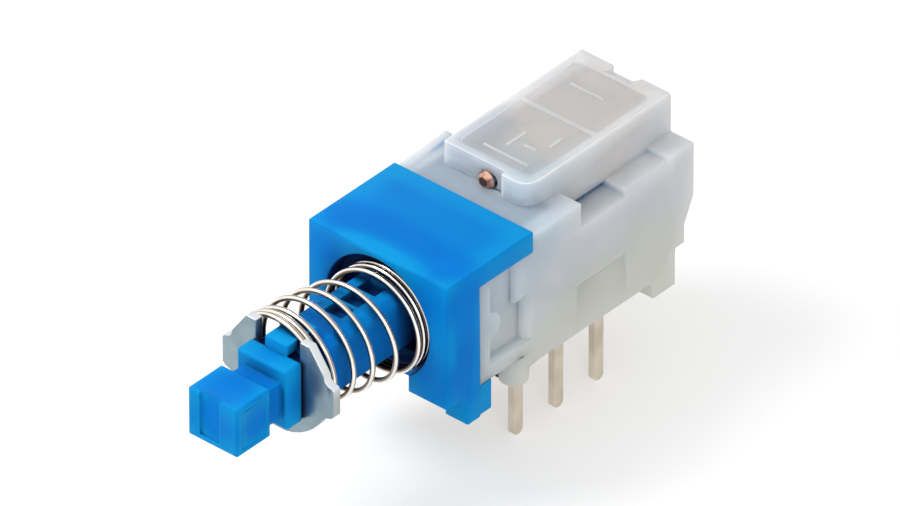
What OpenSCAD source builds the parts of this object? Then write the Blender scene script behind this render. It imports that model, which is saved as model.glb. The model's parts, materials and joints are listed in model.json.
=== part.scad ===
// Latching push switch for board mounting: two poles, six terminals, plunger on its side.
// +Z is up from the board, the plunger points along -Y and X runs across the switch.
// The origin is on the board's surface, at the centre of the six terminals.

/* [Terminals] */
// Pitch of the terminals along a row
pin_pitch = 2.5; // [2.2:0.05:3.2]
// Distance between the two rows
row_gap = 5; // [4.6:0.05:6.5]
// Thickness of the terminal sheet
pin_t = 0.35; // [0.25:0.01:0.45]
// Width of a pin
pin_w = 0.57; // [0.4:0.01:0.8]
// Length of the pins below the board's surface
pin_reach = 3.3; // [2:0.05:5]
// Length of a fixed contact along the travel
contact_l = 1.9; // [1.5:0.05:2]
// Height of a fixed contact above the terminal base
contact_h = 3.6; // [3:0.05:4]

/* [Travel] */
// Full stroke of the plunger
stroke = 3.5; // [2.6:0.05:4]
// Travel at which the lock pin rests in the cam's notch
latch_travel = 2.5; // [2:0.05:2.8]

/* [Housing] */
// Thickness of the side walls
side_wall = 0.94; // [0.6:0.02:1.4]
// Thickness of the rear wall and of the cover's walls
thin_wall = 0.6; // [0.45:0.05:0.9]
// Height of the feet that hold the housing off the board
standoff_h = 0.8; // [0.4:0.05:1.2]
// Length of the nose that carries the front frame
nose_l = 2.46; // [2.2:0.02:3]
// Depth of the pockets in the nose's sides
pocket_depth = 0.46; // [0.3:0.02:0.6]
// Thickness of the roof over the slider
roof_t = 1.07; // [0.6:0.01:1.6]
// Height of the lock's cover above the roof
cover_h = 1.17; // [1.1:0.01:1.5]
// Thickness of the cover's top
cover_roof = 0.33; // [0.25:0.01:0.4]

/* [Terminal base] */
// Thickness of the base plate
base_t = 0.8; // [0.6:0.05:1.2]
// Height of the rails that the slider runs on
rail_h = 0.95; // [0.6:0.05:1.3]

/* [Front frame] */
// Height of the front frame
frame_h = 6.05; // [5.4:0.05:6.6]
// Thickness of the front frame
frame_t = 2.04; // [1.8:0.02:2.6]
// Length of the flange over the nose
flange_l = 3.26; // [2.8:0.02:3.6]
// Thickness of the flange
flange_t = 1.02; // [0.8:0.01:1.4]
// Depth of the return spring's seat
seat_depth = 0.8; // [0.6:0.05:1.3]

/* [Plunger] */
// Length of the slider inside the housing
slider_l = 6.5; // [6.2:0.05:7.6]
// Height of the slider
slider_h = 3.45; // [3.3:0.05:4]
// Width of the shank
shank_w = 2.52; // [2:0.02:2.8]
// Height of the shank
shank_h = 3.2; // [2.8:0.02:3.3]
// Length of the tip that takes a key cap
tip_l = 2.07; // [1.5:0.01:4]
// Width of the tip
tip_w = 2.66; // [1.8:0.02:3]
// Height of the tip
tip_h = 2.36; // [1.6:0.02:3]

/* [Return spring] */
// Outer diameter of the spring
spring_d = 4.96; // [4.8:0.02:5.2]
// Diameter of its wire
spring_wire = 0.24; // [0.18:0.01:0.3]
// Length of the spring with the plunger out
spring_l = 6.45; // [6:0.05:8.5]
// Thickness of the plate that the spring pushes on
plate_t = 0.42; // [0.25:0.01:0.5]

/* [Lock] */
// Diameter of the lock pin's wire
lock_wire = 0.62; // [0.5:0.01:0.62]
// Distance from the lock pin's pivot to its tip
lock_arm = 3; // [2.9:0.01:3.3]
// Sideways step of the cam at full stroke
cam_shift = 1; // [0.9:0.01:1.1]
// Thickness of the leaf spring and of the contact clips
leaf_t = 0.15; // [0.1:0.01:0.15]

/* [Hidden] */
$fn = 48;
eps = 0.01;

// Clearances: between still pieces, and round pieces that slide
fit_gap = 0.02;
run_gap = 0.05;

// Room round the return spring in its seat
seat_gap = 0.27;

// Heights, from the board up
body_z = standoff_h;
base_z = body_z + base_t;
slider_z = base_z + rail_h + run_gap;
slider_top = slider_z + slider_h;
shank_top = slider_top - run_gap;
axis_z = shank_top - shank_h / 2;
roof_z = slider_top + run_gap + roof_t;
cover_z = roof_z + cover_h;
frame_top = roof_z + 0.28;
frame_z = frame_top - frame_h;
nose_top = frame_top - flange_t;
nose_z = frame_z + 0.08;
contact_top = base_z + contact_h;
cavity_top = contact_top + 0.15;
shoulder_z = cavity_top + thin_wall;
shelf_z = shoulder_z + 0.33;
corner_z = shoulder_z + 0.53;

// Widths, as half widths from the centre
contact_x = row_gap / 2 - pin_t / 2;
cavity_x = row_gap / 2 + pin_t / 2 + fit_gap;
body_x = cavity_x + side_wall;
pocket_x = body_x - pocket_depth;
frame_x = body_x + 0.09;
slider_x = contact_x - 0.675;
channel_x = slider_x + 0.1;
cover_x = channel_x + thin_wall + 0.05;
shank_x = shank_w / 2;

// Places along the travel, with the plunger out
cavity_y = -(pin_pitch + contact_l / 2 + 0.17);
nose_y = cavity_y - nose_l;
frame_y = nose_y - frame_t;
flange_y = nose_y + flange_l;
seat_y = frame_y + seat_depth;
plate_y = seat_y - spring_l;
slider_y = cavity_y + fit_gap;
slider_rear = slider_y + slider_l;
cavity_rear = slider_rear + stroke + 0.25;
rear_y = cavity_rear + thin_wall;
main_y = cavity_y + 0.67;
body_front = main_y + 0.25;
roof_rear = main_y + 3.19;
cover_y = cavity_y + 2.32;
shelf_y = roof_rear + 2.85;
corner_y = rear_y - 1.55;
collar_y = plate_y - plate_t - 0.99;
neck_y = collar_y - 0.91;
tip_y = neck_y - tip_l;

// Steps down the rear wall: how far each lies forward of the one above
rear_slope = 0.56;
rear_step = 0.57;

// Lock pin and its cam
lock_z = roof_z + lock_wire / 2 + fit_gap + eps;
pivot_y = cover_y + thin_wall / 2;
tip_rest_y = pivot_y + lock_arm;
cam_depth = 0.55;
lane_r = lock_wire / 2 + 0.06;
swing = asin(cam_shift / lock_arm);
latch = [0.04, tip_rest_y - latch_travel];
back_x = 0.8;

housing_colour = "gainsboro";
blue = "dodgerblue";
tin = "silver";
steel = "lightslategray";
bronze = "peru";

// A box from one corner to the opposite one
module block(from, to) {
    translate(from) cube(to - from);
}

// The same shape on both sides of the centre plane
module both_sides() {
    children();
    mirror([1, 0, 0]) children();
}

// A box whose upright edges are rounded
module round_box(from, to, r) {
    size = to - from;
    translate([from.x, from.y, from.z]) linear_extrude(size.z) union() {
        translate([r, 0]) square([size.x - 2 * r, size.y]);
        translate([0, r]) square([size.x, size.y - 2 * r]);
        for (x = [r, size.x - r], y = [r, size.y - r]) translate([x, y]) circle(r);
    }
}

// A box with all its edges rounded
module soft_box(from, to, r) {
    size = to - from;
    intersection() {
        round_box(from, to, r);
        translate([from.x, from.y, from.z]) rotate([90, 0, 90])
            round_box([0, 0, 0], [size.y, size.z, size.x], r);
        translate([from.x, to.y, from.z]) rotate([90, 0, 0])
            round_box([0, 0, 0], [size.x, size.z, size.y], r);
    }
}

// A side view, drawn as Y and Z, made as wide as the two X values say
module across(x0, x1) {
    translate([x0, 0, 0]) rotate([90, 0, 90]) linear_extrude(x1 - x0) children();
}

// A round bar along Y
module bar_y(r, y0, y1) {
    translate([0, y0, 0]) rotate([-90, 0, 0]) cylinder(r = r, h = y1 - y0);
}

// ---- Housing ----

// Outline of the main body from the side, with the stepped rear wall
module body_side(front, top) {
    polygon([[front, body_z], [rear_y - rear_slope - rear_step, body_z],
             [rear_y - rear_slope - rear_step, body_z + 0.98], [rear_y - rear_slope, body_z + 0.98],
             [rear_y - rear_slope, body_z + 1.89], [rear_y, body_z + 3.08],
             [rear_y, top], [front, top]]);
}

// Room for the slider and the contacts, open at the bottom for the terminal base
module cavity_side() {
    low = rear_y - rear_slope - rear_step - thin_wall;
    polygon([[cavity_y, body_z - 1], [low, body_z - 1], [low, body_z + 1.1],
             [low + rear_step, body_z + 1.89], [cavity_rear, body_z + 3.08],
             [cavity_rear, cavity_top], [cavity_y, cavity_top]]);
}

// Nose with a rim round its front, a rail below and a pocket in each side
module nose() {
    rail_top = body_z + 1.36;
    bump_z = nose_top - 2.38;
    block([-pocket_x, nose_y, nose_z], [pocket_x, body_front + 0.1, nose_top]);
    block([-body_x, nose_y, nose_z], [body_x, body_front + 0.1, rail_top]);
    both_sides() {
        block([pocket_x - eps, nose_y, nose_z], [body_x, nose_y + 0.72, nose_top]);
        translate([pocket_x - eps, nose_y + 0.72, bump_z]) rotate([0, 90, 0])
            cylinder(r = 0.63, h = pocket_depth + eps);
        pocket_corner(main_y - 0.76, bump_z + 0.1, pocket_depth);
        pocket_corner(main_y - 0.26, rail_top - 0.2, 0);
    }
}

// Rounded corner where the body's side turns in to the pocket. Its underside is rounded by under
module pocket_corner(y, z, under) {
    r = pocket_depth;
    intersection() {
        translate([pocket_x - eps, y, z]) linear_extrude(nose_top - z) difference() {
            square([r + eps, body_front + 0.1 - y]);
            difference() {
                translate([eps, -eps]) square([r + eps, r + eps]);
                translate([eps, r]) circle(r);
            }
        }
        translate([pocket_x - eps, body_front + 0.1, z]) rotate([90, 0, 0])
            linear_extrude(body_front + 0.1 - y + 1) difference() {
                square([r + eps, nose_top - z]);
                difference() {
                    translate([eps + r - under, -eps]) square([under + eps, under + eps]);
                    translate([eps + r - under, under]) circle(max(under, eps));
                }
            }
    }
}

// Cover over the lock, with one rounded corner at its front
module cover() {
    r = 0.8;
    rim = 0.18;
    step_y = cover_y - 0.28;
    intersection() {
        translate([0, 0, roof_z - 1]) linear_extrude(cover_h + 1) union() {
            translate([-cover_x, cover_y]) square([2 * cover_x, rear_y - cover_y]);
            translate([cover_x - 1.5, step_y]) square([1.5 - r, 1]);
            translate([cover_x - r, step_y + r]) circle(r);
            translate([cover_x - r - 0.1, step_y + r]) square([r + 0.1, 1]);
        }
        translate([0, rear_y, 0]) rotate([90, 0, 0]) linear_extrude(rear_y - step_y) union() {
            translate([-cover_x, roof_z - 1]) square([2 * cover_x, cover_h + 1 - rim]);
            translate([-cover_x, roof_z]) square([2 * cover_x - rim, cover_h]);
            translate([cover_x - rim, cover_z - rim]) circle(rim);
        }
    }
}

// Shallow panel in the cover's top with its moulded ridges
module cover_panel() {
    depth = 0.07;
    x = cover_x - 0.45;
    difference() {
        round_box([-x, cover_y + 0.38, cover_z - depth], [x, rear_y - 0.8, cover_z + 1], 0.3);
        ridge([-x, cover_y + 4.24], [x, cover_y + 4.44]);
        ridge([-1.05, cover_y + 0.86], [1.3, cover_y + 0.96]);
        ridge([-0.35, cover_y + 1.48], [-0.25, cover_y + 2.63]);
        ridge([0.23, cover_y + 1.88], [0.85, cover_y + 1.98]);
        ridge([1.05, cover_y + 2.48], [1.15, cover_y + 3.2]);
        ridge([-1.2, cover_y + 6.38], [0.6, cover_y + 6.48]);
    }
}

module ridge(from, to) {
    block([from.x, from.y, 0], [to.x, to.y, cover_z - 0.02]);
}

// Foot with a rounded end, beside the front terminals
module boss() {
    r = 0.63;
    edge = 0.18;
    translate([body_x - r, main_y - 0.26, 0]) rotate_extrude() union() {
        translate([0, edge]) square([r, nose_z + 0.3 - edge]);
        square([r - edge, edge + eps]);
        translate([r - edge, edge]) circle(edge);
    }
}

module rear_foot() {
    y = rear_y - rear_slope - rear_step;
    block([body_x - 1.2, y - 1.4, 0], [body_x, y, body_z + eps]);
}

// Wells under the nose that keep its walls even
module nose_wells() {
    both_sides() block([shank_x + run_gap + 0.6, nose_y + 0.7, nose_z - 1],
                       [pocket_x - 0.6, cavity_y - 0.5, nose_top - 0.8]);
}

module housing() color(housing_colour) {
    difference() {
        union() {
            across(-body_x, body_x) body_side(body_front, shoulder_z);
            block([-body_x, main_y - 0.25, body_z], [body_x, body_front + 0.1, body_z + 1.3]);
            nose();
            block([-body_x, main_y, shoulder_z - 0.5], [body_x, flange_y + fit_gap, nose_top]);
            block([-body_x, flange_y + fit_gap, shoulder_z - 0.5], [body_x, roof_rear, roof_z]);
            cover();
            plateau_lip();
            both_sides() {
                shelf();
                block([cover_x - 0.5, corner_y, shoulder_z - 0.5], [body_x, rear_y, corner_z]);
                boss();
                rear_foot();
            }
        }
        across(-cavity_x, cavity_x) cavity_side();
        block([-channel_x, cavity_y, cavity_top - eps], [channel_x, cavity_rear, slider_top + run_gap]);
        // Guide for the shank, open at the top under the flange
        block([-shank_x - run_gap, nose_y - 1, axis_z - shank_h / 2 - run_gap],
              [shank_x + run_gap, cavity_y + eps, nose_top + 1]);
        lock_room();
        cover_panel();
        rear_notch();
        nose_wells();
        both_sides() side_recess();
    }
}

// Wedge along the left edge of the roof in front of the cover
module plateau_lip() {
    across(-body_x, 0.35 - body_x)
        polygon([[flange_y + fit_gap, roof_z - eps], [roof_rear, roof_z - eps],
                 [roof_rear, frame_top], [flange_y + fit_gap, roof_z + 0.15]]);
}

// Raised shelf beside the cover, with a sloped outer edge
module shelf() {
    translate([0, corner_y + eps, 0]) rotate([90, 0, 0]) linear_extrude(corner_y + eps - shelf_y)
        polygon([[cover_x - 0.5, shoulder_z - 0.5], [body_x, shoulder_z - 0.5], [body_x, shoulder_z],
                 [body_x - 0.2, shelf_z], [cover_x - 0.5, shelf_z]]);
}

// Room under the cover for the lock pin and its leaf spring, and the pin's pivot hole
module lock_room() {
    top = cover_z - cover_roof;
    block([-channel_x, roof_rear + 0.2, slider_top], [channel_x, cavity_rear, top]);
    block([-channel_x, cover_y + thin_wall, roof_z], [channel_x, roof_rear + 0.3, top]);
    pivot_slot(lock_wire / 2 + fit_gap, thin_wall / 2 * tan(swing) + 0.02);
}

// Hole in the cover's front wall, wide enough for the lock pin to swing in
module pivot_slot(r, play) {
    front = cover_y - 1;
    back = cover_y + thin_wall + eps;
    for (x = [-play, play]) translate([x, 0, lock_z]) bar_y(r, front, back);
    block([-play, front, lock_z - r], [play, back, lock_z + r]);
}

// Notch in the top of the rear wall, with one sloped side
module rear_notch() {
    floor_z = cover_z - 0.35;
    length = thin_wall - 0.05;
    translate([0, rear_y + 1, 0]) rotate([90, 0, 0]) linear_extrude(1 + length)
        polygon([[-0.67, floor_z], [0.32, floor_z], [0.85, cover_z], [0.85, cover_z + 1],
                 [-0.67, cover_z + 1]]);
}

// Recess in the body's side that runs out towards the bottom
module side_recess() {
    depth = 0.22;
    low = body_z - 0.1;
    high = body_z + 2.4;
    translate([0, shelf_y, 0]) rotate([90, 0, 0]) linear_extrude(shelf_y - roof_rear + 0.2)
        polygon([[body_x + 0.04, low], [body_x + 1, low], [body_x + 1, high], [body_x - depth, high]]);
}

// ---- Terminal base ----

module terminal_base() color("wheat") {
    x = cavity_x - fit_gap;
    rear = rear_y - rear_slope - rear_step - thin_wall - fit_gap;
    difference() {
        block([-x, cavity_y + fit_gap, body_z], [x, rear, base_z]);
        for (side = [-1, 1], n = [-1, 0, 1])
            translate([side * row_gap / 2, n * pin_pitch, body_z - 1])
                block([-pin_t / 2 - fit_gap, -pin_w / 2 - fit_gap, 0],
                      [pin_t / 2 + fit_gap, pin_w / 2 + fit_gap, base_t + 2]);
    }
    both_sides() block([0.55, cavity_y + 0.2, base_z - eps],
                       [slider_x - 0.3, rear - 0.2, base_z + rail_h]);
}

// ---- Terminals ----

// One stamped terminal: a pin with a rounded end below a flat contact
module terminal(side, n) color(tin) {
    tip_r = pin_w / 2;
    translate([side * row_gap / 2, n * pin_pitch, 0]) across(-pin_t / 2, pin_t / 2) union() {
        translate([0, tip_r - pin_reach]) circle(tip_r);
        translate([-pin_w / 2, tip_r - pin_reach]) square([pin_w, pin_reach - tip_r + base_z + eps]);
        translate([-contact_l / 2, base_z]) square([contact_l, contact_h]);
    }
}

// ---- Front frame ----

module front_frame() color(blue) {
    leg_x = 1.22;
    leg_y = frame_y + 1.27;
    fillet = 0.6;
    difference() {
        union() {
            round_box([-frame_x, frame_y, frame_z], [frame_x, nose_y, frame_top], 0.08);
            block([-frame_x, nose_y - 0.3, nose_top], [frame_x, flange_y, frame_top]);
            both_sides() {
                block([frame_x - leg_x, leg_y, 0], [frame_x, nose_y, frame_z + eps]);
                block([frame_x - leg_x, nose_y - 0.1, 0], [body_x, leg_y + 1.58, nose_z - fit_gap]);
                translate([frame_x - leg_x, leg_y - fillet, frame_z - fillet])
                    leg_fillet(leg_x, fillet);
            }
        }
        // Seat of the spring, open below, and the shank's hole
        translate([0, 0, axis_z]) bar_y(spring_d / 2 + seat_gap, frame_y - 1, seat_y);
        block([-1.63, frame_y - 1, frame_z - 1], [1.63, seat_y, axis_z]);
        block([-shank_x - run_gap, frame_y, axis_z - shank_h / 2 - run_gap],
              [shank_x + run_gap, nose_y + 1, shank_top + run_gap]);
    }
}

// Hollow corner of radius r between the frame's underside and a leg
module leg_fillet(width, r) {
    difference() {
        block([0, 0, 0], [width, r + eps, r + eps]);
        translate([-1, 0, 0]) rotate([0, 90, 0]) cylinder(r = r, h = width + 2);
    }
}

// ---- Plunger ----

module plunger() color(blue) {
    difference() {
        union() {
            tip();
            shank();
            slider();
        }
        cam();
        both_sides() clip_pocket();
    }
}

// Square tip for a key cap, with its neck and the collar that holds the spring plate
module tip() {
    z = axis_z + 0.15;
    neck_x = shank_x - 0.26;
    difference() {
        soft_box([-tip_w / 2, tip_y, z - tip_h / 2], [tip_w / 2, neck_y, z + tip_h / 2], 0.16);
        block([-0.7, tip_y - 1, z - tip_h / 2 + 0.27], [0.36, tip_y + 0.14, z + tip_h]);
        both_sides() block([tip_w / 2 - 0.05, tip_y + 0.35, z - tip_h / 2 + 0.25],
                           [tip_w, neck_y - 0.3, z + tip_h / 2 - 0.3]);
    }
    block([-neck_x, neck_y - eps, z - 0.95], [neck_x, collar_y + eps, z + 0.8]);
    soft_box([-shank_x - 0.11, collar_y, shank_top - 2.9],
             [shank_x + 0.11, plate_y - plate_t, shank_top + 0.02], 0.2);
}

// Shank with the narrow core that the spring plate drops over and the key above it
module shank() {
    low = axis_z - shank_h / 2;
    side = 0.3;
    under = 0.55;
    difference() {
        translate([0, slider_y + eps, 0]) rotate([90, 0, 0])
            linear_extrude(slider_y + eps - plate_y - fit_gap)
            polygon([[-shank_x, low + under], [under - shank_x, low], [shank_x - under, low],
                     [shank_x, low + under], [shank_x, shank_top - side],
                     [shank_x - side, shank_top], [side - shank_x, shank_top],
                     [-shank_x, shank_top - side]]);
        // Sinks in the top, with ribs between them
        for (n = [0 : 2]) translate([0, frame_y - 2.78 + n * 1.02, shank_top - 0.45])
            block([-0.45, 0, 0], [0.5, 0.78, 1]);
        block([-0.5, frame_y + 0.5, shank_top - 0.45], [0.5, slider_y - 0.6, shank_top + 1]);
    }
    // Core through the plate's slot
    block([fit_gap - slot_x(), plate_y - plate_t - 0.3, plate_web_z() + fit_gap],
          [slot_x() - fit_gap, plate_y + fit_gap + eps, shank_top - side]);
    block([-0.6, plate_y - plate_t - 0.1, shank_top - eps], [0.6, plate_y + 1.3, shank_top + 0.5]);
}

// Slider that runs in the housing, cut away below to clear the stepped rear wall
module slider() {
    cut = rear_slope + 0.04;
    across(-slider_x, slider_x)
        polygon([[slider_y, slider_z], [slider_rear - cut, slider_z],
                 [slider_rear, slider_z + 1.3], [slider_rear, slider_top], [slider_y, slider_top]]);
}

// Half width of the slot in the spring plate, and the height of the web below it
function slot_x() = shank_x - 0.08;
function plate_web_z() = axis_z - shank_h / 2 + 0.5;

// Where the lock pin's tip is over the slider after a travel of t
function lane(t) = let (a = swing * t / stroke)
    [-lock_arm * sin(a), pivot_y + lock_arm * cos(a) - t];

// Heart-shaped groove in the slider's top: out along one side, up into the notch that
// holds the plunger in, and back along the other side
module cam() {
    steps = 10;
    path = [for (n = [0 : steps]) lane(stroke * n / steps)];
    left = [for (p = path) [p.x - lane_r, p.y]];
    right = [for (n = [steps : -1 : 0]) [path[n].x + lane_r, path[n].y]];
    end = path[steps];
    translate([0, 0, slider_top - cam_depth]) linear_extrude(cam_depth + 1) union() {
        polygon(concat(left, right));
        groove(end, latch);
        groove(latch, [back_x, end.y + 0.15]);
        groove([back_x, end.y + 0.15], [back_x, path[0].y - 1]);
        groove([back_x, path[0].y - 1], path[0]);
    }
}

// Straight stretch of the cam's groove between two places of the lock pin's tip
module groove(from, to) {
    run = to - from;
    for (p = [from, to]) translate(p) circle(lane_r);
    translate(from) rotate(atan2(run.y, run.x)) translate([0, -lane_r]) square([norm(run), 2 * lane_r]);
}

// ---- Contact clips ----

clip_h = 1.2;
clip_z = base_z + 2.3;
clip_y = -pin_pitch / 2 - 0.25;
clip_l = pin_pitch + 0.9;
clip_inner = slider_x - 0.18 + leaf_t / 2;
clip_bow = contact_x - fit_gap - leaf_t / 2 - clip_inner;
clip_rise = 1.1;

// Distance of the clip's centre line from the switch's centre, and the angle of its sheet
function clip_x(s) = clip_inner
    + clip_bow * (1 + cos(180 * min(1, abs(abs(s) - pin_pitch / 2) / clip_rise))) / 2;
function clip_angle(s) = atan2(clip_x(s + 0.01) - clip_x(s - 0.01), 0.02);
function clip_edge(s, side) = [clip_x(s) + side * leaf_t / 2 * cos(clip_angle(s)),
                               s - side * leaf_t / 2 * sin(clip_angle(s))];

module contact_clip() color(bronze) {
    steps = 34;
    s = [for (n = [0 : steps]) clip_l * (n / steps - 0.5)];
    outer = [for (v = s) clip_edge(v, 1)];
    inner = [for (n = [steps : -1 : 0]) clip_edge(s[n], -1)];
    translate([0, clip_y, clip_z - clip_h / 2]) linear_extrude(clip_h) polygon(concat(outer, inner));
}

module clip_pocket() {
    room = clip_l / 2 + 0.12;
    block([slider_x - 0.2, clip_y - room, clip_z - clip_h / 2 - run_gap],
          [slider_x + 1, clip_y + room, clip_z + clip_h / 2 + run_gap]);
}

// ---- Spring plate and return spring ----

// Sheared steel plate, open at the top so that it drops over the shank
module spring_plate() color(steel) {
    lobe_top = axis_z + 2.5;
    ear_x = spring_d / 2 + 0.5;
    low_r = 2.26;
    edge = [[1.7, lobe_top], [2.46, axis_z + 1.42], [2.52, axis_z + 1.16], [2.66, axis_z + 1.02],
            [ear_x - 0.08, axis_z + 0.98], [ear_x, axis_z + 0.86], [ear_x, axis_z - 0.35],
            [ear_x - 0.15, axis_z - 0.5], [2.56, axis_z - 0.6]];
    bottom = [for (a = [-20 : -10 : -80]) [ear_drop(a) * cos(a) * low_r, axis_z + low_r * sin(a)]];
    right = concat(edge, bottom);
    translate([0, plate_y, 0]) rotate([90, 0, 0]) linear_extrude(plate_t) difference() {
        polygon(concat(right, [for (n = [len(right) - 1 : -1 : 0]) [-right[n].x, right[n].y]]));
        translate([-slot_x(), plate_web_z()]) square([2 * slot_x(), shank_h + 2]);
    }
}

// Widens the plate's lower edge towards the ears
function ear_drop(a) = 1 + 0.12 * pow(cos(a), 2);

// Compression spring with closed ends. Its middle turns open out towards the seat, and it
// leans a little, because it is loose on the shank and in its seat
front_turns = 2;
open_turns = 4;
rear_turns = 2.8;
spring_turns = front_turns + open_turns + rear_turns;
spring_r = (spring_d - spring_wire) / 2;
spring_low = plate_y + spring_wire / 2 + fit_gap;
spring_high = seat_y - spring_wire / 2 - fit_gap;
front_tight = front_turns * spring_wire * 1.04;
rear_tight = rear_turns * spring_wire * 1.45;
spring_rise = spring_high - spring_low - front_tight - rear_tight;
spring_front = [-0.35, axis_z + 0.3];
spring_rear = [0.15, axis_z - 0.16];

// How far along the spring its wire is after t turns
function along(t) = t < front_turns ? front_tight * t / front_turns
    : t < front_turns + open_turns ? front_tight + spring_rise * ease((t - front_turns) / open_turns)
    : front_tight + spring_rise + rear_tight * (t - front_turns - open_turns) / rear_turns;

// Makes each open turn a little wider than the one before
function ease(u) = u * (0.75 + 0.25 * u);

// One corner of the wire's section after t turns, at the angle a round the wire
function wire_point(t, a) = let (q = spring_r + spring_wire / 2 * cos(a),
    share = along(t) / (spring_high - spring_low),
    centre = spring_front + share * (spring_rear - spring_front))
    [centre.x + q * sin(360 * t), spring_low + along(t) + spring_wire / 2 * sin(a),
     centre.y + q * cos(360 * t)];

module return_spring() color(steel) {
    sides = 8;
    count = ceil(spring_turns * 18);
    points = [for (n = [0 : count], k = [0 : sides - 1])
        wire_point(spring_turns * n / count, 360 * k / sides)];
    walls = [for (n = [0 : count - 1], k = [0 : sides - 1]) let (a = n * sides, m = (k + 1) % sides)
        [a + k, a + m, a + sides + m, a + sides + k]];
    caps = [[for (k = [sides - 1 : -1 : 0]) k], [for (k = [0 : sides - 1]) count * sides + k]];
    polyhedron(points, concat(walls, caps), convexity = 20);
}

// ---- Lock ----

// Bent wire: its straight end turns in the cover's front wall, its tip rides in the cam
module lock_pin() color("chocolate") {
    bend = 0.55;
    r = lock_wire / 2;
    front = cover_y - 0.72;
    foot_z = slider_top - cam_depth + 0.06;
    translate([0, 0, lock_z]) bar_y(r, front, tip_rest_y - bend);
    translate([0, tip_rest_y - bend, lock_z - bend]) rotate([90, 0, 90])
        rotate_extrude(angle = 90) translate([bend, 0]) circle(r);
    translate([0, tip_rest_y, foot_z]) cylinder(r = r, h = lock_z - bend - foot_z);
}

// Leaf spring that holds the lock pin down in the cam, its rear end turned down the rear wall
module lock_spring() color(bronze) {
    width = 2.2;
    z = lock_z + lock_wire / 2 + fit_gap;
    front = roof_rear + 0.7;
    rear = cavity_rear - fit_gap;
    low = slider_top + 0.25;
    across(-width / 2, width / 2)
        polygon([[front, z], [rear - leaf_t, z], [rear - leaf_t, low], [rear, low],
                 [rear, z + leaf_t], [front, z + leaf_t]]);
}

housing();
terminal_base();
front_frame();
plunger();
spring_plate();
return_spring();
lock_pin();
lock_spring();
mirror([1, 0, 0]) contact_clip();  // contact_clip_left
contact_clip();  // contact_clip_right
terminal(-1, -1);  // terminal_left_front
terminal(-1, 0);  // terminal_left_middle
terminal(-1, 1);  // terminal_left_rear
terminal(1, -1);  // terminal_right_front
terminal(1, 0);  // terminal_right_middle
terminal(1, 1);  // terminal_right_rear
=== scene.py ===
"""A latching push switch for circuit boards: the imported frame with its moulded, plated and drawn finishes.

Everything is in metres, in the frame's own axes: +Z up from the board, -Y the way the plunger points.
"""
import json
import math

import bmesh
import bpy
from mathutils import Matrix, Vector


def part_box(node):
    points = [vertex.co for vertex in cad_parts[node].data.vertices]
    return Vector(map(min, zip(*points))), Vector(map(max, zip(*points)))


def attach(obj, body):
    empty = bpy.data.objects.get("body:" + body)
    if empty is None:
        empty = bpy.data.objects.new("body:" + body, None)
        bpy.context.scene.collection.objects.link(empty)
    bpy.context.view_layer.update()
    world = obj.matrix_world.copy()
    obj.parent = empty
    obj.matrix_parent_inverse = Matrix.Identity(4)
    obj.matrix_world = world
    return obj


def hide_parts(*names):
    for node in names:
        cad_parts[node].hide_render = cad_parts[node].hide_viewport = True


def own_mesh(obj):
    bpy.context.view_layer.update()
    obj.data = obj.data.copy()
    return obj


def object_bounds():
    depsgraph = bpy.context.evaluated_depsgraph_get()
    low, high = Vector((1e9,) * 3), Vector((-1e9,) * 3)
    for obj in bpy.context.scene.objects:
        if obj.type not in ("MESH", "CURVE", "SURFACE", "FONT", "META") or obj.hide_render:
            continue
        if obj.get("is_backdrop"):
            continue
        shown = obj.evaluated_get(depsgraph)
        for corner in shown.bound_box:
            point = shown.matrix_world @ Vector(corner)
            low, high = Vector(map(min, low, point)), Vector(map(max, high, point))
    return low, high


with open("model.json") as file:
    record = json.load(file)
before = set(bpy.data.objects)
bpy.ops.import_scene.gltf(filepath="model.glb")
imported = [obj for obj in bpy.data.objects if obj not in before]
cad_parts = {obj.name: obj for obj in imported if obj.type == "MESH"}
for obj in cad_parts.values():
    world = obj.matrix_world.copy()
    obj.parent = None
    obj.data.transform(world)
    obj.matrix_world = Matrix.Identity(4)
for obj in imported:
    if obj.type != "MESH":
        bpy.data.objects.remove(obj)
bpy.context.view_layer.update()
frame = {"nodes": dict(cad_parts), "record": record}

MM = 0.001
SLOTS = {part["node"]: part["material_slot"] for part in frame["record"]["subparts"]}
BODIES = frame["record"]["behaviour"]["bodies"]
BODY_OF = {node: body for body, nodes in BODIES.items() for node in nodes}

# The lock cover's front wall, its rim and its sunk panel. The lock wire stands before the wall.
COVER_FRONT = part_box("lock_pin")[0].y + 0.72 * MM
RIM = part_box("housing")[1].z
PANEL = RIM - 0.07 * MM


# ---- Colours and nodes ----

def linear(code):
    """An sRGB hex colour as linear red, green, blue and alpha."""
    parts = [int(code[n:n + 2], 16) / 255 for n in (1, 3, 5)]
    return [c / 12.92 if c <= 0.04045 else ((c + 0.055) / 1.055) ** 2.4 for c in parts] + [1.0]


def put(mat, kind, inputs=None, **settings):
    """Adds one node with its settings and links, and gives its first output in use. An input is keyed by
    its name or place, and is a number, a tuple, a hex colour or another node's output."""
    made = mat.node_tree.nodes.new("ShaderNode" + kind)
    for name, value in settings.items():
        setattr(made, name, value)
    for key, value in (inputs or {}).items():
        if isinstance(key, int):
            socket = made.inputs[key]
        else:
            socket = next(s for s in made.inputs if s.enabled and s.name == key)
        if isinstance(value, bpy.types.NodeSocket):
            mat.node_tree.links.new(value, socket)
        else:
            socket.default_value = linear(value) if isinstance(value, str) else value
    return next(s for s in made.outputs if s.enabled)


def turning(mat, value, low, high, first, second):
    """The first colour, turning smoothly into the second as the value goes from low to high."""
    share = put(mat, "MapRange", {"Value": value, "From Min": low, "From Max": high},
                interpolation_type="SMOOTHSTEP")
    return put(mat, "Mix", {"Factor": share, "A": first, "B": second}, data_type="RGBA")


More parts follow.
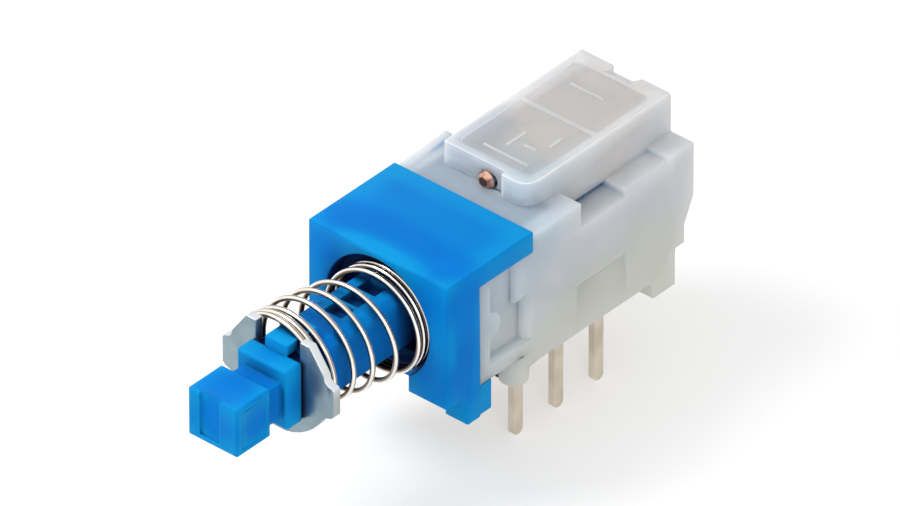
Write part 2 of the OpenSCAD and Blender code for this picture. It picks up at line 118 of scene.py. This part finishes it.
def painted_show_through(mat, place, colour, middle, half, reach, tint):
    """Painted light and shade seen through a wall: the colour, turning into the tint near a box inside the
    wall, within a reach of the box's faces.
    """
    away = put(mat, "VectorMath", {0: place, 1: middle}, operation="SUBTRACT")
    away = put(mat, "VectorMath", {0: away}, operation="ABSOLUTE")
    away = put(mat, "VectorMath", {0: away, 1: half}, operation="SUBTRACT")
    away = put(mat, "VectorMath", {0: away, 1: (0.0, 0.0, 0.0)}, operation="MAXIMUM")
    away = put(mat, "VectorMath", {0: away}, operation="LENGTH")
    return turning(mat, away, reach, 0.0, colour, tint)


def per(size):
    """The scale of a texture whose features are that many millimetres across."""
    return 1 / (size * MM)


def finish_of(name, rough, metal=0.0, ior=1.5):
    """A new material with its shader, and the place of each point in the piece's own axes."""
    mat = bpy.data.materials.new(name)
    mat.use_nodes = True
    shader = mat.node_tree.nodes["Principled BSDF"]
    shader.inputs["Roughness"].default_value = rough
    shader.inputs["Metallic"].default_value = metal
    shader.inputs["IOR"].default_value = ior
    place = put(mat, "TexCoord").node.outputs["Object"]
    return mat, shader, place


def give(mat, shader, **sockets):
    """Sets or links the shader's sockets, named with underscores for spaces."""
    for name, value in sockets.items():
        socket = shader.inputs[name.replace("_", " ")]
        if isinstance(value, bpy.types.NodeSocket):
            mat.node_tree.links.new(value, socket)
        else:
            socket.default_value = value


# ---- Materials ----

def moulded_acetal():
    """Acetal, injection moulded and self-coloured: an even strong blue with almost no shine, with a painted
    glow, greener where light comes through thin stock and along edges, and painted shade, navy, in the gaps
    between the moving pieces."""
    mat, shader, place = finish_of("moulded_acetal", 0.5, ior=1.48)
    cloud = put(mat, "TexNoise", {"Vector": place, "Scale": per(3.0), "Detail": 3.0})
    body = turning(mat, cloud, 0.35, 0.65, "#0376D0", "#047ED8")
    # Painted glow: greener blue where light comes through thin stock
    thin = put(mat, "AmbientOcclusion", {"Distance": 1.3 * MM}, inside=True, samples=8)
    body = turning(mat, thin, 0.75, 0.35, body, "#0B9ADE")
    # Painted highlight: lighter blue along the edges
    edge = put(mat, "AmbientOcclusion", {"Distance": 0.22 * MM}, inside=True, samples=8)
    body = turning(mat, edge, 0.75, 0.40, body, "#1290DC")
    # Painted shade: navy in the gaps between the moving pieces and in recesses
    gap_shade = put(mat, "AmbientOcclusion", {"Distance": 3.2 * MM}, samples=8)
    body = turning(mat, gap_shade, 0.80, 0.22, body, "#0C2A60")
    grain = put(mat, "TexNoise", {"Vector": place, "Scale": per(0.12), "Detail": 4.0})
    bump = put(mat, "Bump", {"Height": grain, "Strength": 0.12, "Distance": 0.02 * MM})
    give(mat, shader, Base_Color=body, Normal=bump, Specular_IOR_Level=0.05, Subsurface_Weight=0.2,
         Subsurface_Radius=(0.1, 0.5, 1.0), Subsurface_Scale=0.3 * MM)
    return mat


def moulded_nylon():
    """Natural nylon, injection moulded and unpigmented: milky and soft, with painted clouded light and shade
    where the blue frame, the blue plunger and the copper alloys inside would show through its walls, painted
    light along its edges and corners, and painted blue shade in its recesses."""
    mat, shader, place = finish_of("moulded_nylon", 0.42, ior=1.53)
    cloud = put(mat, "TexNoise", {"Vector": place, "Scale": per(2.4), "Detail": 3.0})
    wander = cloud.node.outputs["Color"]
    wander = put(mat, "VectorMath", {0: wander, 1: (0.5, 0.5, 0.5)}, operation="SUBTRACT")
    wander = put(mat, "VectorMath", {0: wander, "Scale": 2.0 * MM}, operation="SCALE")
    spot = put(mat, "VectorMath", {0: place, 1: wander}, operation="ADD")
    axes = put(mat, "SeparateXYZ", {0: place}).node.outputs
    height = put(mat, "Math", {0: cloud, 1: 5.0 * MM, 2: axes["Z"]}, operation="MULTIPLY_ADD")
    along = put(mat, "Math", {0: cloud, 1: 6.0 * MM, 2: axes["Y"]}, operation="MULTIPLY_ADD")
    along = put(mat, "Math", {0: axes["Z"], 1: -0.8, 2: along}, operation="MULTIPLY_ADD")
    colour = turning(mat, cloud, 0.3, 0.7, "#CDD0D5", "#D9DBDE")
    # Yellower and greener low down; cooler towards the blue frame and most so high up, a painted blue light
    # and shade from the frame
    colour = turning(mat, height, 7.6 * MM, 3.2 * MM, colour, "#D6D8CD")
    colour = turning(mat, along, 1.0 * MM, -8.0 * MM, colour, "#B4C6D3")
    # Painted light and shade of what lies behind the walls: warm painted light from the copper alloy leaf
    # under the cover's panel, painted shade of the dark lock wire under the cover's front, and painted blue
    # shade of the plunger under the roof before the cover
    low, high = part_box("lock_spring")
    leaf = (low + high) / 2
    colour = painted_show_through(mat, spot, colour, leaf, (high - low) * 0.35, 2.2 * MM, "#F2E4DA")
    front = Vector((-1.7 * MM, COVER_FRONT + 1.78 * MM, RIM))
    colour = painted_show_through(mat, spot, colour, front, Vector((0.4, 0.8, 0.2)) * MM, 1.6 * MM, "#BCC0CA")
    low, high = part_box("plunger")
    roof = Vector((0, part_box("front_frame")[1].y + 0.5 * MM, high.z + 0.4 * MM))
    colour = painted_show_through(mat, place, colour, roof, Vector((2.6, 1.3, 0.3)) * MM, 0.5 * MM, "#A0AFBC")
    # Painted light: lighter along outer edges, in tight corners and on the panel's raised ridges, where
    # light gathers
    edge = put(mat, "AmbientOcclusion", {"Distance": 0.3 * MM}, inside=True, samples=8)
    colour = turning(mat, edge, 0.62, 0.35, colour, "#D5D8DB")
    corner = put(mat, "AmbientOcclusion", {"Distance": 0.8 * MM}, samples=8)
    bright = turning(mat, corner, 0.80, 0.35, colour, "#DEE2E6")
    ridge = turning(mat, axes["Z"], PANEL + 0.01 * MM, PANEL + 0.035 * MM, bright, "#F6F6F7")
    colour = turning(mat, axes["Z"], PANEL + 0.055 * MM, PANEL + 0.065 * MM, ridge, bright)
    # Painted shade: the deepest recesses turn to a shaded blue, from what stands beside them
    recess_shade = put(mat, "AmbientOcclusion", {"Distance": 2.6 * MM}, samples=8)
    colour = turning(mat, recess_shade, 0.50, 0.12, colour, "#6C9FCB")
    grain = put(mat, "TexNoise", {"Vector": place, "Scale": per(0.15), "Detail": 3.0})
    bump = put(mat, "Bump", {"Height": grain, "Strength": 0.08, "Distance": 0.02 * MM})
    give(mat, shader, Base_Color=colour, Normal=bump, Specular_IOR_Level=0.3, Subsurface_Weight=1.0,
         Subsurface_Radius=(1.0, 1.0, 1.0), Subsurface_Scale=2.0 * MM)
    return mat


def laminated_resin():
    """Paper laminate with phenolic resin, punched: tan, with faint fibres, and dull."""
    mat, shader, place = finish_of("laminated_resin", 0.55, ior=1.55)
    stretched = put(mat, "Mapping", {"Vector": place, "Scale": (1.0, 0.15, 1.0)})
    fibre = put(mat, "TexNoise", {"Vector": stretched, "Scale": per(0.12), "Detail": 4.0})
    colour = turning(mat, fibre, 0.35, 0.7, "#C9B88F", "#DCCFA8")
    bump = put(mat, "Bump", {"Height": fibre, "Strength": 0.2, "Distance": 0.01 * MM})
    give(mat, shader, Base_Color=colour, Normal=bump)
    return mat


def zinc_plated_sheet():
    """Steel sheet, sheared and zinc plated: cool grey and satin on its faces, with faint streaks from the
    roll, a lighter grey on the edges that the shear left, and a painted highlight, near white, where those
    edges face up."""
    mat, shader, place = finish_of("zinc_plated_sheet", 0.36, metal=1.0)
    cloud = put(mat, "TexNoise", {"Vector": place, "Scale": per(1.6), "Detail": 3.0})
    facing = put(mat, "TexCoord").node.outputs["Normal"]
    facing = put(mat, "SeparateXYZ", {0: facing}).node.outputs
    flat = put(mat, "Math", {0: facing["Y"]}, operation="ABSOLUTE")
    face = turning(mat, cloud, 0.3, 0.7, "#7E919A", "#94A5AC")
    # The sheared edges a lighter grey, with a painted highlight where they face up
    sheared_and_highlit = turning(mat, facing["Z"], 0.1, 0.5, "#A6ABAB", "#DFE3E5")
    colour = turning(mat, flat, 0.85, 0.3, face, sheared_and_highlit)
    streaked = put(mat, "Mapping", {"Vector": place, "Scale": (0.08, 1.0, 1.0)})
    streak = put(mat, "TexNoise", {"Vector": streaked, "Scale": per(0.06), "Detail": 3.0})
    bump = put(mat, "Bump", {"Height": streak, "Strength": 0.2, "Distance": 0.01 * MM})
    give(mat, shader, Base_Color=colour, Normal=bump)
    return mat


def drawn_spring_wire():
    """Stainless spring wire, drawn and coiled: brown, with fine lines along it, a painted highlight nearly
    white in two bands round it, and a painted dark reflection, brown-black, on the coil's inner side."""
    mat, shader, place = finish_of("drawn_spring_wire", 0.22, metal=1.0)
    around = put(mat, "TexCoord").node.outputs["UV"]
    drawn = put(mat, "Mapping", {"Vector": around, "Scale": (0.5, 30.0, 1.0)})
    drawn = put(mat, "TexNoise", {"Vector": drawn, "Scale": 1.0, "Detail": 3.0})
    # v runs once round the wire, from the coil's outside by its rear side: the painted highlight bands lie
    # at 1/8 and 7/8, the painted dark reflection at 1/2
    turn = put(mat, "SeparateXYZ", {0: around}).node.outputs["Y"]
    side = put(mat, "Math", {0: turn, 1: 0.5}, operation="SUBTRACT")
    side = put(mat, "Math", {0: side}, operation="ABSOLUTE")
    band = put(mat, "Math", {0: side, 1: 0.375}, operation="SUBTRACT")
    band = put(mat, "Math", {0: band}, operation="ABSOLUTE")
    rough_band = put(mat, "Math", {0: drawn, 1: 0.02}, operation="MULTIPLY")
    band = put(mat, "Math", {0: band, 1: rough_band}, operation="ADD")
    # Painted highlight in the bands, brown beside them, and painted dark reflection on the coil's inner side
    painted_dark_reflection = turning(mat, band, 0.13, 0.24, "#97887B", "#1E1916")
    colour = turning(mat, band, 0.05, 0.12, "#FBF4EA", painted_dark_reflection)
    bump = put(mat, "Bump", {"Height": drawn, "Strength": 0.10, "Distance": 0.01 * MM})
    give(mat, shader, Base_Color=colour, Normal=bump)
    return mat


def copper_wire():
    """Copper-plated steel wire, cut and bent: bright red metal along its sides, and a painted dark
    reflection on the cut end that faces forwards."""
    mat, shader, place = finish_of("copper_wire", 0.2, metal=1.0)
    cloud = put(mat, "TexNoise", {"Vector": place, "Scale": per(0.3), "Detail": 3.0})
    colour = turning(mat, cloud, 0.3, 0.7, "#C08670", "#F3C3A8")
    facing = put(mat, "TexCoord").node.outputs["Normal"]
    facing = put(mat, "SeparateXYZ", {0: facing}).node.outputs["Y"]
    # Painted dark reflection on the cut end, which faces forwards
    colour = turning(mat, facing, -0.75, -0.99, colour, "#6B4A48")
    bump = put(mat, "Bump", {"Height": cloud, "Strength": 0.2, "Distance": 0.02 * MM})
    give(mat, shader, Base_Color=colour, Normal=bump)
    return mat


def bronze_strip():
    """Phosphor bronze strip, rolled: warm brown metal with fine lines along the roll."""
    mat, shader, place = finish_of("bronze_strip", 0.3, metal=1.0)
    rolled = put(mat, "Mapping", {"Vector": place, "Scale": (1.0, 0.08, 1.0)})
    lines = put(mat, "TexNoise", {"Vector": rolled, "Scale": per(0.06), "Detail": 3.0})
    colour = turning(mat, lines, 0.35, 0.65, "#B8794A", "#D79D6A")
    bump = put(mat, "Bump", {"Height": lines, "Strength": 0.15, "Distance": 0.01 * MM})
    give(mat, shader, Base_Color=colour, Normal=bump)
    return mat


def tinned_brass():
    """Brass strip, punched and tin plated: a soft warm white metal, with faint lines down the pin from
    the punch and a slightly duller core where the plating is thin."""
    mat, shader, place = finish_of("tinned_brass", 0.4, metal=1.0)
    cloud = put(mat, "TexNoise", {"Vector": place, "Scale": per(1.4), "Detail": 2.0})
    colour = turning(mat, cloud, 0.3, 0.7, "#CCC0AE", "#DDD3C4")
    punched = put(mat, "Mapping", {"Vector": place, "Scale": (1.0, 1.0, 0.06)})
    lines = put(mat, "TexNoise", {"Vector": punched, "Scale": per(0.07), "Detail": 2.0})
    bump = put(mat, "Bump", {"Height": lines, "Strength": 0.2, "Distance": 0.012 * MM})
    give(mat, shader, Base_Color=colour, Normal=bump)
    return mat


FINISHES = {"housing": moulded_nylon(), "base": laminated_resin(), "blue": moulded_acetal(),
            "plate": zinc_plated_sheet(), "spring": drawn_spring_wire(), "lock_wire": copper_wire(),
            "bronze": bronze_strip(), "terminal": tinned_brass()}


# ---- Pieces ----

def piece_of(name, mesh, node):
    """A visible piece that stands for a CAD node and takes that node's body, slot and finish."""
    piece = bpy.data.objects.new(name, mesh)
    bpy.context.scene.collection.objects.link(piece)
    mesh.materials.clear()
    mesh.materials.append(FINISHES[SLOTS[node]])
    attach(piece, BODY_OF[node])
    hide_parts(node)
    return piece


def cover_corner(work):
    """Cuts the sharp corner at the front of the lock cover's right block back to its rounding: each point
    of the corner slides along the block's side, the further the nearer it lies to that side."""
    roof = 7.17 * MM
    rounding, slope = 2.208 * MM, 2.65
    touching = 0.003 * MM
    for point in work.verts:
        beside = point.co.x - rounding
        at_front = abs(point.co.y - COVER_FRONT) < touching
        if at_front and beside > touching and point.co.z > roof - touching:
            point.co.y += beside * slope


def panel_ridge(face):
    """Whether a face belongs to one of the ridges on the lock cover's panel, too low for a radius."""
    half_width = 1.9 * MM
    touching = 0.003 * MM
    heights = [point.co.z for point in face.verts]
    raised = PANEL + touching < max(heights) < RIM - touching and min(heights) > PANEL - touching
    return raised and abs(face.calc_center_median().x) < half_width


def rounded(name, node, width, weld=0.002, shaped=None, left_sharp=None):
    """A copy of a CAD node whose sharp edges are rounded, as its mould or its press leaves them, but for
    those of the faces left sharp. Points nearer than weld are joined first. Sizes are in millimetres."""
    work = bmesh.new()
    work.from_mesh(frame["nodes"][node].data)
    if shaped:
        shaped(work)
    flat, sharp = math.radians(2), math.radians(35)
    bmesh.ops.remove_doubles(work, verts=work.verts, dist=weld * MM)
    bmesh.ops.dissolve_limit(work, angle_limit=flat, verts=work.verts, edges=work.edges)
    weights = work.edges.layers.float.new("bevel_weight_edge")
    for edge in work.edges:
        if len(edge.link_faces) == 2 and edge.calc_face_angle() > sharp:
            kept = left_sharp is not None and any(left_sharp(face) for face in edge.link_faces)
            edge[weights] = 0.0 if kept else 1.0
            edge.smooth = not kept
    mesh = bpy.data.meshes.new(name + "_work")
    work.to_mesh(mesh)
    work.free()
    holder = bpy.data.objects.new(name + "_work", mesh)
    bpy.context.scene.collection.objects.link(holder)
    bevel = holder.modifiers.new("edges", "BEVEL")
    bevel.width = width * MM
    bevel.segments = 2
    bevel.limit_method = "WEIGHT"
    bevel.use_clamp_overlap = False
    bevel.miter_outer = "MITER_ARC"
    holder.modifiers.new("normals", "WEIGHTED_NORMAL").keep_sharp = True
    bpy.context.view_layer.update()
    solid = holder.evaluated_get(bpy.context.evaluated_depsgraph_get())
    final = bpy.data.meshes.new_from_object(solid)
    final.name = name
    low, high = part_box(node)
    for point in final.vertices:
        point.co = [min(max(point.co[n], low[n]), high[n]) for n in range(3)]
    for face in final.polygons:
        face.use_smooth = True
    bpy.data.objects.remove(holder)
    return piece_of(name, final, node)


def sweep(name, centres, frames, radius, sides):
    """A round wire along a line, closed at both ends. Each ring stands in the two directions that its
    frame gives. The radius is one size, or a function of the ring and the turn round it."""
    work = bmesh.new()
    wrap = work.loops.layers.uv.new("wrap")
    rings, run = [], [0.0]
    travelled = 0.0
    for n, (centre, (across, up)) in enumerate(zip(centres, frames)):
        ring = []
        for k in range(sides):
            turn = 2 * math.pi * k / sides
            size = radius(n, turn) if callable(radius) else radius
            ring.append(work.verts.new(centre + size * (across * math.cos(turn) + up * math.sin(turn))))
        rings.append(ring)
        if n:
            travelled += (centre - centres[n - 1]).length
            run.append(travelled)
    for n in range(len(rings) - 1):
        for k in range(sides):
            beside = (k + 1) % sides
            face = work.faces.new((rings[n][k], rings[n][beside], rings[n + 1][beside], rings[n + 1][k]))
            face.smooth = True
            spots = ((n, k), (n, k + 1), (n + 1, k + 1), (n + 1, k))
            for loop, (row, column) in zip(face.loops, spots):
                loop[wrap].uv = (run[row] / MM, column / sides)
    work.faces.new(rings[0][::-1])
    work.faces.new(rings[-1])
    bmesh.ops.recalc_face_normals(work, faces=work.faces)
    mesh = bpy.data.meshes.new(name)
    work.to_mesh(mesh)
    work.free()
    return mesh


def return_spring():
    """The coil: closed and a little wider at both ends, with its open turns spreading towards the seat.
    It is loose on the shank, so it lies to one side at the front and sits low in its seat."""
    low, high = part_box("return_spring")
    wire = 0.24 * MM
    coil, wider_ends = 2.31 * MM, 0.06 * MM
    # How far it is from one turn to the next, front first
    pitches = (0.3, 0.25, 1.15, 0.9, 1.0, 1.65, 0.25, 0.25, 0.25)
    first_turn, middle_turn, last_turn = -0.35, 4.0, 8.6
    steps = 72
    start, end = low.y + wire / 2 + 0.06 * MM, high.y - wire / 2 - 0.05 * MM
    # The front turns lie aside. Further back the coil comes in again, and a little later it sags
    front_aside, back, back_from, back_at = -0.53 * MM, 0.51 * MM, 2.8, 5.8
    front_height, sag, sag_from, sag_at = 4.47 * MM, 0.28 * MM, 3.4, 6.6
    front_lean, lean_back = -0.22 * MM, 0.16 * MM

    def pitch(turn):
        place = min(max(turn - 0.5, 0.0), len(pitches) - 1.001)
        first = int(place)
        return pitches[first] + (pitches[first + 1] - pitches[first]) * (place - first)

    def part_way(turn, first, last):
        return min(max((turn - first) / (last - first), 0.0), 1.0)

    turns = [first_turn + n / steps for n in range(int((last_turn - first_turn) * steps) + 1)]
    total = sum(pitch(turn) for turn in turns[:-1])
    centres, frames = [], []
    travelled = 0.0
    for turn in turns:
        share = travelled / total
        angle = 2 * math.pi * turn
        out = Vector((math.sin(angle), 0, math.cos(angle)))
        along = start + (end - start) * share + (front_lean + lean_back * share) * out.x
        aside = front_aside + back * part_way(turn, back_from, back_at)
        height = front_height - sag * part_way(turn, sag_from, sag_at)
        radius = coil + wider_ends * (turn / middle_turn - 1) ** 2
        centres.append(Vector((aside, along, height)) + radius * out)
        frames.append((out, Vector((0, 1, 0))))
        travelled += pitch(turn)
    spring = piece_of("coil_spring", sweep("coil_spring", centres, frames, wire / 2, 24), "return_spring")
    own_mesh(spring)


def lock_pin():
    """The bent wire: a headed front end with the cutter's flats, a straight run through the cover's wall,
    a bend, and a foot in the cam."""
    low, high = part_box("lock_pin")
    wire = (high.x - low.x) / 2
    bend, bend_steps = 0.55 * MM, 8
    level = high.z - wire
    corner = high.y - wire - bend
    up, ahead, side = Vector((0, 0, 1)), Vector((0, 1, 0)), Vector((1, 0, 0))
    middle = Vector(((low.x + high.x) / 2, 0, level))
    # Each ring of the head: its distance before the wall, its radius, its share of the flats and the shift
    head = ((0.27, 0.19, 1.0, 1.0), (0.25, 0.25, 1.0, 1.0), (0.15, 0.38, 1.0, 1.0), (0.05, 0.43, 0.8, 1.0),
            (0.0, 0.43, 0.5, 1.0), (-0.02, 0.31, 0.0, 0.0))
    shift = Vector((-0.09, 0, -0.06)) * MM
    centres = [middle + ahead * (COVER_FRONT - ring[0] * MM) + shift * ring[3] for ring in head]
    frames = [(side, up)] * len(head)
    centres.append(middle + ahead * corner)
    frames.append((side, up))
    for n in range(1, bend_steps + 1):
        angle = math.pi / 2 * n / bend_steps
        ahead_by, down_by = corner + bend * math.sin(angle), bend * (1 - math.cos(angle))
        centres.append(middle + ahead * ahead_by - up * down_by)
        frames.append((side, up * math.cos(angle) + ahead * math.sin(angle)))
    centres.append(Vector((middle.x, corner + bend, low.z)))
    frames.append((side, ahead))

    def cut(ring, turn):
        if ring >= len(head):
            return wire
        sixth, twist = math.pi / 3, 0.35
        flat = math.cos(sixth / 2) / math.cos((turn + twist) % sixth - sixth / 2)
        return head[ring][1] * MM * (1 + head[ring][2] * (flat - 1))

    pin = sweep("bent_lock_pin", centres, frames, cut, 36)
    for face in pin.polygons:
        face.use_smooth = face.center.y > COVER_FRONT
    piece_of("bent_lock_pin", pin, "lock_pin")


rounded("moulded_housing", "housing", 0.05, shaped=cover_corner, left_sharp=panel_ridge)
rounded("moulded_front_frame", "front_frame", 0.06, weld=0.05)
rounded("moulded_plunger", "plunger", 0.04)
rounded("punched_base", "terminal_base", 0.03)
rounded("sheared_plate", "spring_plate", 0.03)
for name, slot in SLOTS.items():
    if slot == "terminal":
        rounded("punched_" + name, name, 0.04)
return_spring()
lock_pin()
for name, node in frame["nodes"].items():
    node.data.materials.clear()
    node.data.materials.append(FINISHES[SLOTS[name]])


# ---- Floor, light and camera ----

def studio_white(level):
    """Matt white paint, rolled: it shows the object's shadow, and is lifted to the background's white."""
    mat, shader, place = finish_of("matt_white_floor", 0.9)
    tooth = put(mat, "TexNoise", {"Vector": place, "Scale": per(0.8), "Detail": 2.0})
    bump = put(mat, "Bump", {"Height": tooth, "Strength": 0.03, "Distance": 0.05 * MM})
    path = put(mat, "LightPath").node.outputs
    seen = put(mat, "Math", {0: path["Is Camera Ray"], 1: path["Is Glossy Ray"]}, operation="MAXIMUM")
    seen = put(mat, "Math", {0: seen, 1: path["Is Transmission Ray"]}, operation="MAXIMUM")
    lift = put(mat, "Math", {0: seen, 1: level}, operation="MULTIPLY")
    give(mat, shader, Base_Color=linear("#D8D8D8"), Normal=bump, Specular_IOR_Level=0.0,
         Emission_Color=(1.0, 1.0, 1.0, 1.0), Emission_Strength=lift)
    return mat


def floor():
    """A wide round floor that the pins' tips stand on."""
    work = bmesh.new()
    bmesh.ops.create_circle(work, cap_ends=True, segments=96, radius=2.0)
    mesh = bpy.data.meshes.new("floor")
    work.to_mesh(mesh)
    work.free()
    mesh.materials.append(studio_white(0.42))
    slab = bpy.data.objects.new("floor", mesh)
    slab.location.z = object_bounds()[0][2] - 0.01 * MM
    bpy.context.scene.collection.objects.link(slab)
    slab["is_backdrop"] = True


def world_light(level):
    """An even white room, seen as plain white behind the object."""
    world = bpy.data.worlds.new("room")
    world.use_nodes = True
    bpy.context.scene.world = world
    path = put(world, "LightPath").node.outputs
    seen = put(world, "Math", {0: path["Is Camera Ray"], 1: path["Is Glossy Ray"]}, operation="MAXIMUM")
    seen = put(world, "Math", {0: seen, 1: path["Is Transmission Ray"]}, operation="MAXIMUM")
    strength = put(world, "MapRange", {"Value": seen, "To Min": level, "To Max": 1.0})
    background = world.node_tree.nodes["Background"]
    background.inputs["Color"].default_value = (1.0, 1.0, 1.0, 1.0)
    world.node_tree.links.new(strength, background.inputs["Strength"])


def lamp(name, place, size, power):
    """A square soft light that faces the switch."""
    light = bpy.data.lights.new(name, "AREA")
    light.energy = power
    light.size = size * MM
    holder = bpy.data.objects.new(name, light)
    holder.location = Vector(place) * MM
    holder.rotation_euler = holder.location.to_track_quat("Z", "Y").to_euler()
    bpy.context.scene.collection.objects.link(holder)


def camera():
    """A long lens from the front right, well above the switch."""
    azimuth, elevation = math.radians(41.1), math.radians(35.5)
    distance = 900 * MM
    shown = 36.378 * MM
    aim = Vector((0.04, -3.723, 5.160)) * MM
    back = Vector((math.sin(azimuth) * math.cos(elevation), -math.cos(azimuth) * math.cos(elevation),
                   math.sin(elevation)))
    data = bpy.data.cameras.new("camera")
    data.sensor_width = 36
    data.lens = data.sensor_width * distance / shown
    data.clip_start = 0.01
    holder = bpy.data.objects.new("camera", data)
    holder.location = aim + back * distance
    holder.rotation_euler = back.to_track_quat("Z", "Y").to_euler()
    bpy.context.scene.collection.objects.link(holder)
    bpy.context.scene.camera = holder


floor()
world_light(0.62)
lamp("key", (-70, -60, 120), 70, 0.11)
lamp("fill", (110, -70, 60), 60, 0.04)
camera()
bpy.context.scene.view_settings.view_transform = "Standard"
